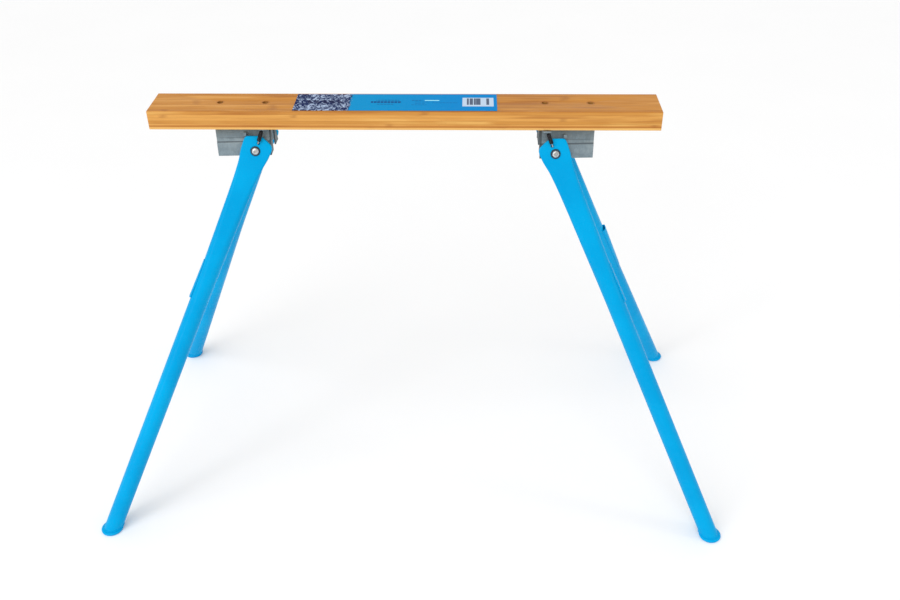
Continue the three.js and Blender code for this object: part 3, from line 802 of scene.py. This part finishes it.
def build_spring(leg):
    """A close-wound extension spring, hooked through the leg's head and up into its tab."""
    hook, anchor = leg.hook(), leg.anchor()
    axis = (anchor - hook).normalized()
    out = (leg.out - axis * leg.out.dot(axis)).normalized()
    side = axis.cross(out)
    span = (anchor - hook).length / MM

    def at(along, outward, sideways=0.0):
        return hook + (axis * along + out * outward + side * sideways) * MM

    tail = [(3.6, -11.6), (1.8, -11.6), (0.2, -11.0), (-1.0, -9.8), (-1.6, -7.9), (-1.7, -5.8)]
    tail += [(-1.7, -3.6), (-1.3, -1.7), (-0.3, -0.4), (1.2, 0.0), (2.6, 0.0)]
    points = [at(a, o) for a, o in tail]
    hook_points = len(points)
    start, stop = 4.2, span - 5.2
    steps = COIL_TURNS * TURN_STEPS
    for i in range(steps + 1):
        a = 2 * math.pi * i / TURN_STEPS
        grow = min(1.0, i / 9, (steps - i) / 9)
        radius = COIL_RADIUS * math.sin(grow * math.pi / 2)
        along = start + (stop - start) * i / steps
        points.append(at(along, radius * math.cos(a), radius * math.sin(a)))
    points += [at(span + past, 0) for past in (-4.2, -2.6, -1.0, 0.4)]
    rings = tube_along(points, WIRE * MM, WIRE_SIDES)
    vertices, faces = loft(rings)
    mesh = mesh_from("spring", vertices, faces, 60)
    made = new_object(f"{leg.name}_coil_spring", mesh)
    mesh.materials.append(LOOKS["spring"])
    mesh.materials.append(LOOKS["zinc"])
    for face in mesh.polygons:
        if face.vertices[0] < hook_points * WIRE_SIDES:
            face.material_index = 1
    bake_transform(made)
    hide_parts(f"{leg.name}_spring")


# ---- Fasteners --------------------------------------------------------------------------------------


def cross_recess(radius, top, depth):
    """A tapered cross, to cut out of a screw's head."""
    work = bmesh.new()
    for turn in (0, math.pi / 2):
        rings = []
        for z, length, width in ((top + 1, radius, 0.95), (top - depth, radius * 0.35, 0.45)):
            corners = [(-length, -width), (length, -width), (length, width), (-length, width)]
            c, s = math.cos(turn), math.sin(turn)
            rings.append([Vector((x * c - y * s, x * s + y * c, z)) * MM for x, y in corners])
        vertices, faces = loft(rings)
        made = [work.verts.new(v) for v in vertices]
        for face in faces:
            work.faces.new([made[i] for i in face])
    mesh = bpy.data.meshes.new("recess")
    work.to_mesh(mesh)
    work.free()
    return finished(mesh, 20)


def screw_mesh(name, shank, head, seat, height, tail):
    """A pan-head screw along Z, seated at a height, with a cross recess."""
    profile = [(0, seat + height), (head * 0.45, seat + height - 0.08)]
    profile += [(head * 0.72, seat + height * 0.86), (head * 0.9, seat + height * 0.62)]
    profile += [(head * 0.985, seat + height * 0.34), (head, seat + height * 0.14)]
    profile += [(head - 0.25, seat), (shank, seat)]
    profile += [(shank, tail + 0.8), (shank - 0.7, tail), (0, tail)]
    made = new_object(name, lathe(name, in_metres(profile), 56, sharp_deg=40))
    recess = new_object("cutter", cross_recess(head * 0.52, seat + height, height * 0.62))
    cut_away(made, [recess])
    mesh = made.data
    bpy.data.objects.remove(made)
    return mesh


def nut_mesh(name, across_flats, bore, low, high, collar=0.0):
    """A chamfered hexagonal nut along Z, with the rounded collar of a lock nut below it."""
    corner = across_flats / 2 / math.cos(math.pi / 6)
    rings = []
    for z in (low + collar, high):
        ring = []
        for i in range(6):
            a = i * math.pi / 3
            ring.append(Vector((corner * math.cos(a), corner * math.sin(a), z)) * MM)
        rings.append(ring)
    vertices, faces = loft(rings)
    made = new_object(name, mesh_from(name, vertices, faces))
    flat = across_flats / 2
    outer = [(flat - 0.1, high + 0.2), (corner + 0.1, high - 0.75), (corner + 3, high - 0.75)]
    outer += [(corner + 3, high + 2), (flat - 0.1, high + 2)]
    inner_low = low + collar
    lower = [(flat - 0.1, inner_low - 0.2), (corner + 0.1, inner_low + 0.75)]
    lower += [(corner + 3, inner_low + 0.75), (corner + 3, inner_low - 2), (flat - 0.1, inner_low - 2)]
    hole = [(0, low - 2), (bore, low - 2), (bore, high + 2), (0, high + 2)]
    cutters = [
        new_object("cutter", lathe("cutter", in_metres(outer), 48, closed=True)),
        new_object("cutter", lathe("cutter", in_metres(lower), 48, closed=True)),
        new_object("cutter", lathe("cutter", in_metres(hole), 48)),
    ]
    cut_away(made, cutters)
    mesh = made.data
    bpy.data.objects.remove(made)
    if collar:
        r = flat - 0.6
        ring = [(bore - 0.1, low + 0.5), (bore + 0.6, low), (r - 1.2, low), (r - 0.3, low + 0.5)]
        ring += [(r, low + 1.4), (r, inner_low + 0.05), (bore - 0.1, inner_low + 0.05)]
        extra = lathe("collar", in_metres(ring), 48, closed=True)
        work = bmesh.new()
        work.from_mesh(mesh)
        work.from_mesh(extra)
        work.to_mesh(mesh)
        work.free()
        mesh = finished(mesh)
    return mesh


def washer_mesh(name, outer, bore, low, high):
    """A flat ring along Z with broken edges."""
    e = 0.25
    profile = [(bore + e, low), (outer - e, low), (outer, low + e), (outer, high - e)]
    profile += [(outer - e, high), (bore + e, high), (bore, high - e), (bore, low + e)]
    return lathe(name, in_metres(profile), 56, closed=True, sharp_deg=50)


def build_pivot_hardware():
    """Each leg's bolt, lock nut and two washers, in place along its pivot."""
    tail = PLATE_FACE - SHEET - GAP - 8
    bolt = screw_mesh("pivot_bolt", 4, 6.6, HEAD_SEAT, 4, tail)
    nut_top = PLATE_FACE - SHEET - GAP
    nut = nut_mesh("lock_nut", 13, 4.3, nut_top - 7, nut_top, collar=1.8)
    seat = BLADE_HALF - DIMPLE_DEPTH + GAP
    thin = washer_mesh("outer_washer", 8.6, BORE, seat, seat + OUTER_WASHER)
    low = PLATE_FACE + GAP
    thick = washer_mesh("inner_washer", 12, BORE, low, low + INNER_WASHER)
    for leg in LEGS:
        spin = Matrix.Rotation(random.Random(leg.name).uniform(0, 1.5), 4, "Z")
        for what, mesh, look in (
            ("pivot_bolt", bolt, "zinc"),
            ("lock_nut", nut, "zinc"),
            # Painted shade: the outer washer is black to stand for the shaded dimple round the bolt
            # head.
            ("outer_washer", thin, "nylon"),
            ("inner_washer", thick, "nylon"),
        ):
            made = new_object(f"{leg.name}_{what}_piece", mesh.copy(), leg.hardware @ spin)
            dress(made, look, "frame", f"{leg.name}_{what}")


def build_rail_hardware():
    """The four bolts down through the rail, with their nuts and washers under the brackets."""
    seat = RAIL_TOP - 7.4 + GAP
    web_bottom = UNDERSIDE - GAP - SHEET
    nut_top = web_bottom - GAP - 1.2 - GAP
    bolt = screw_mesh("rail_bolt", 3.1, 5, seat, 3.6, nut_top - 7)
    nut = nut_mesh("rail_nut", 10, 3.4, nut_top - 5, nut_top)
    washer = washer_mesh("rail_washer", 7, 3.4, web_bottom - GAP - 1.2, web_bottom - GAP)
    for end, sign in ENDS.items():
        for where, x in zip(("inner", "outer"), RAIL_BOLTS):
            place = f"{end}_{where}"
            spin = Matrix.Rotation(random.Random(place).uniform(0, 1.5), 4, "Z")
            at = Matrix.Translation(Vector((sign * x, 0, 0)) * MM) @ spin
            for what, mesh, look in (
                ("bolt", bolt, "spring"),
                ("nut", nut, "zinc"),
                ("washer", washer, "zinc"),
            ):
                made = new_object(f"{place}_rail_{what}_piece", mesh.copy(), at)
                dress(made, look, "frame", f"rail_{what}_{place}")


# ---- Everything -------------------------------------------------------------------------------------

rail = from_node("top_rail", "bamboo_rail", 0.5)
dress(rail, "bamboo", "frame", "top_rail")
for end in ENDS:
    plate = from_node(f"{end}_bracket", f"{end}_bracket_plate", 0.45)
    dress(plate, "galvanised", "frame", f"{end}_bracket")

film = from_node("rail_label", "label_film", 0.1)
dress(film, "label", "frame", "rail_label")

for one in LEGS:
    build_leg(one)
    build_clip(one)
    build_foot(one)
    build_weld(one)
    build_spring(one)
build_pivot_hardware()
build_rail_hardware()


# ---- Floor, light and camera ------------------------------------------------------------------------


def floor():
    mesh = mesh_from("floor", [(-9, -9, 0), (9, -9, 0), (9, 9, 0), (-9, 9, 0)], [[0, 1, 2, 3]])
    made = new_object("floor", mesh)
    n = Nodes("pale_floor")
    mottle = n.noise(n.place(), 3.0, 2.0)
    colour = n.mix(mottle, (0.95, 0.95, 0.95), (0.97, 0.97, 0.97))
    made.data.materials.append(n.surface(Base_Color=colour, Roughness=0.7, Specular_IOR_Level=0.2))


def new_light(name, kind, at, towards, power):
    made = bpy.data.objects.new(name, bpy.data.lights.new(name, kind))
    bpy.context.scene.collection.objects.link(made)
    made.location = at
    made.rotation_euler = Vector(towards).to_track_quat("-Z", "Y").to_euler()
    made.data.energy = power
    return made.data


def area_light(name, at, target, size, power):
    light = new_light(name, "AREA", at, Vector(target) - Vector(at), power)
    light.shape = "RECTANGLE"
    light.size, light.size_y = size


def sun(name, towards, angle_deg, strength):
    light = new_light(name, "SUN", (0, 0, 0), towards, strength)
    light.angle = math.radians(angle_deg)


def white_world(strength):
    world = bpy.data.worlds.new("studio")
    bpy.context.scene.world = world
    world.use_nodes = True
    background = world.node_tree.nodes["Background"]
    background.inputs["Color"].default_value = (1, 1, 1, 1)
    background.inputs["Strength"].default_value = strength


def camera(at, down_deg, yaw_deg, roll_deg, focal_mm):
    """A camera that looks along +Y, turned down, then about Z, then about its own axis."""
    down, yaw, roll = math.radians(down_deg), math.radians(yaw_deg), math.radians(roll_deg)
    flat = Vector((math.sin(yaw), math.cos(yaw), 0))
    forward = flat * math.cos(down) - Vector((0, 0, math.sin(down)))
    level = Vector((math.cos(yaw), -math.sin(yaw), 0))
    above = level.cross(forward)
    right = level * math.cos(roll) + above * math.sin(roll)
    upward = above * math.cos(roll) - level * math.sin(roll)
    lens = bpy.data.cameras.new("camera")
    lens.sensor_fit = "HORIZONTAL"
    lens.sensor_width = 36
    lens.lens = focal_mm
    made = bpy.data.objects.new("camera", lens)
    bpy.context.scene.collection.objects.link(made)
    made.matrix_world = Matrix((right, upward, -forward)).transposed().to_4x4()
    made.matrix_world.translation = Vector(at)
    bpy.context.scene.camera = made


floor()
sun("key", (0.5, 0.75, -1.0), 55, 1.15)
area_light("strip", (-1.9, -1.7, 1.2), (0, 0, 0.4), (0.5, 2.2), 9)
area_light("edge", (2.4, -0.6, 1.0), (0, 0, 0.4), (0.3, 1.8), 5)

white_world(0.75)
bpy.context.scene.view_settings.view_transform = "Standard"
camera((0.1196, -1.6265, 1.488), 34.52, -1.436, -0.453, 38.456)
